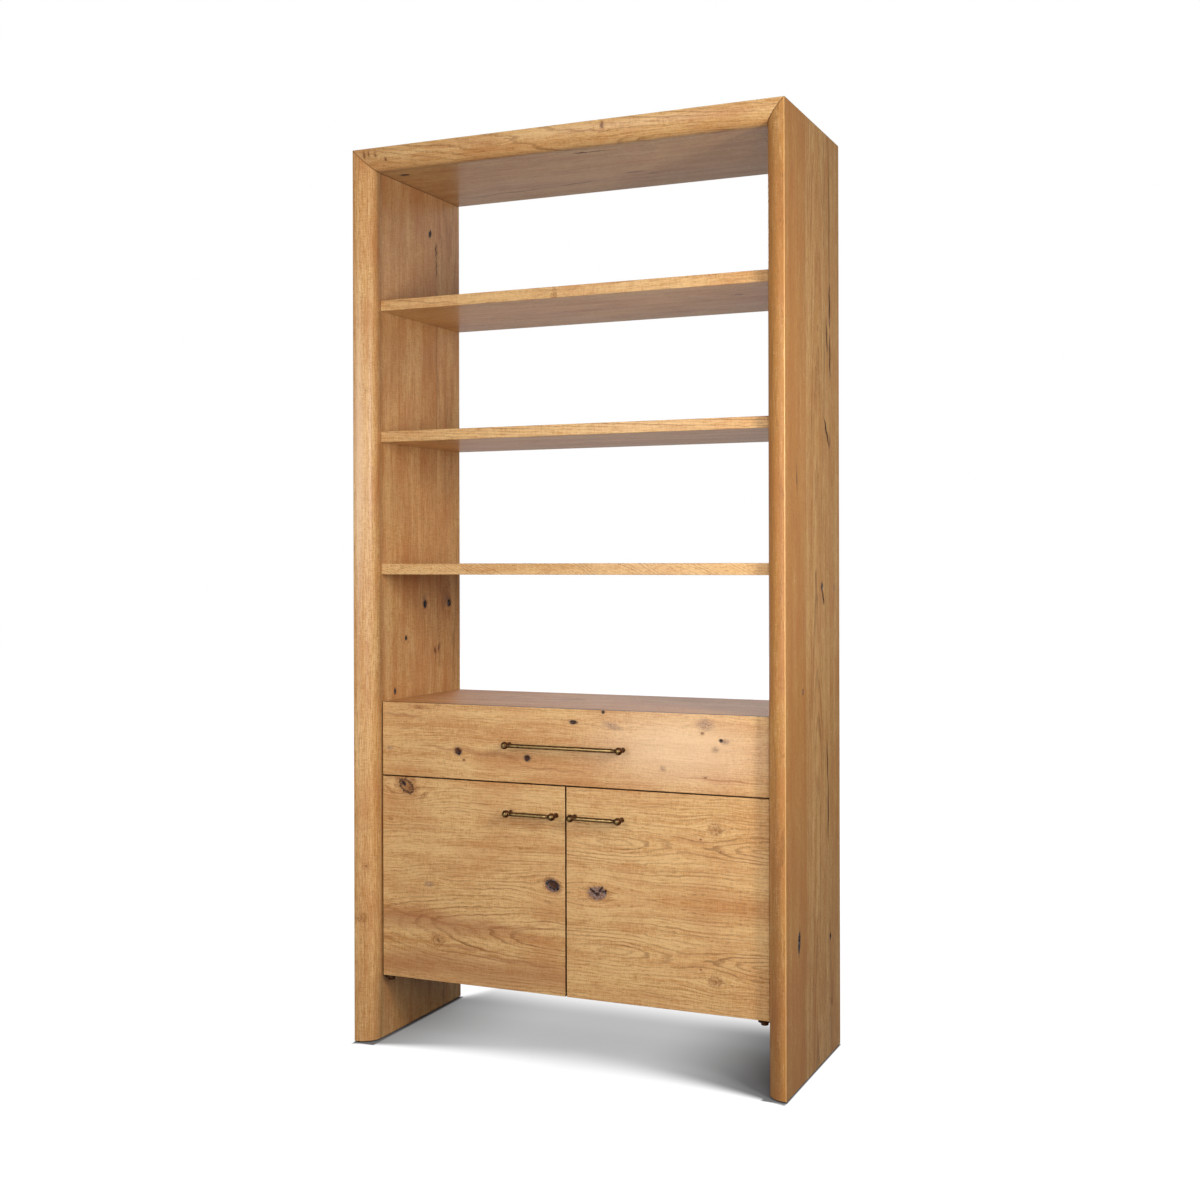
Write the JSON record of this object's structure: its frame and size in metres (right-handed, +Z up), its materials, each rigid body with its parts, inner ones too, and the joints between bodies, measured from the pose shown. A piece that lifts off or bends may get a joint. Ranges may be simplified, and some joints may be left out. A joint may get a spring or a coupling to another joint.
{
  "type": "bookcase with cabinet",
  "caption": "Tall open bookcase in honey oak over a cabinet with a drawer that slides out and doors that swing open, with ball-ended brass pulls.",
  "frame": {"origin": "on the floor, under the centre of the unit's outline", "axes": "+Z up, +Y towards the back, +X to the right as seen from the front"},
  "size_m": [1.124, 0.46, 2.235],
  "materials": {
    "oak": "satin lacquer over honey oak veneer",
    "plywood": "sanded plywood",
    "drawer_wood": "pale sealed hardwood",
    "beech": "fluted beech, unfinished",
    "antique_brass": "antiqued, brushed on the high spots",
    "zinc_steel": "zinc plated",
    "nylon": "brown moulded nylon",
    "magnet": "dark sintered magnet"
  },
  "bodies": {
    "carcass": {"cabinet_back": "plywood", "cabinet_back_screws": "zinc_steel", "cabinet_bottom": "oak", "cabinet_dowels": "beech", "cabinet_top": "oak", "catch_housing": "nylon", "catch_magnets": "magnet", "catch_screws": "zinc_steel", "drawer_divider": "oak", "floor_glides": "nylon", "glide_nails": "zinc_steel", "inner_shelf": "oak", "inner_shelf_pins": "zinc_steel", "lower_pivot_pins": "zinc_steel", "lower_pivot_plate_left": "antique_brass", "lower_pivot_plate_right": "antique_brass", "mitre_splines": "plywood", "pivot_plate_screws": "zinc_steel", "shelf_dowels": "beech", "shelf_lower": "oak", "shelf_middle": "oak", "shelf_upper": "oak", "side_panel_left": "oak", "side_panel_right": "oak", "slide_channel_left": "zinc_steel", "slide_channel_right": "zinc_steel", "slide_channel_screws": "zinc_steel", "top_panel": "oak", "upper_pivot_pins": "zinc_steel", "upper_pivot_plate_left": "antique_brass", "upper_pivot_plate_right": "antique_brass"},
    "drawer": {"drawer_back": "drawer_wood", "drawer_bottom": "plywood", "drawer_front": "oak", "drawer_front_screws": "zinc_steel", "drawer_inner_front": "drawer_wood", "drawer_pull": "antique_brass", "drawer_pull_screws": "zinc_steel", "drawer_side_left": "drawer_wood", "drawer_side_right": "drawer_wood", "slide_runner_left": "zinc_steel", "slide_runner_right": "zinc_steel", "slide_runner_screws": "zinc_steel"},
    "slide_middle_left": {"slide_middle_left": "zinc_steel"},
    "slide_middle_right": {"slide_middle_right": "zinc_steel"},
    "door_left": {"door_bushes_left": "nylon", "door_left": "oak", "door_pull_left": "antique_brass", "door_pull_screws_left": "zinc_steel", "strike_plate_left": "zinc_steel", "strike_screw_left": "zinc_steel"},
    "door_right": {"door_bushes_right": "nylon", "door_pull_right": "antique_brass", "door_pull_screws_right": "zinc_steel", "door_right": "oak", "strike_plate_right": "zinc_steel", "strike_screw_right": "zinc_steel"}
  },
  "joints": [
    {"name": "drawer_slide", "type": "slide", "parent": "carcass", "child": "drawer", "axis": [0, -1, 0], "range_m": [0, 0.345]},
    {"name": "slide_middle_left_run", "type": "slide", "parent": "carcass", "child": "slide_middle_left", "axis": [0, -1, 0], "range_m": [0, 0.1725]},
    {"name": "slide_middle_right_run", "type": "slide", "parent": "carcass", "child": "slide_middle_right", "axis": [0, -1, 0], "range_m": [0, 0.1725]},
    {"name": "door_left_pivot", "type": "hinge", "parent": "carcass", "child": "door_left", "pos_m": [-0.49173, -0.1695, 0.41325], "axis": [0, 0, -1], "range_deg": [0, 105]},
    {"name": "door_right_pivot", "type": "hinge", "parent": "carcass", "child": "door_right", "pos_m": [0.49173, -0.1695, 0.41325], "axis": [0, 0, 1], "range_deg": [0, 105]}
  ],
  "couplings": [
    {"joint": "slide_middle_left_run", "follows": "drawer_slide", "ratio": 0.5},
    {"joint": "slide_middle_right_run", "follows": "drawer_slide", "ratio": 0.5}
  ]
}
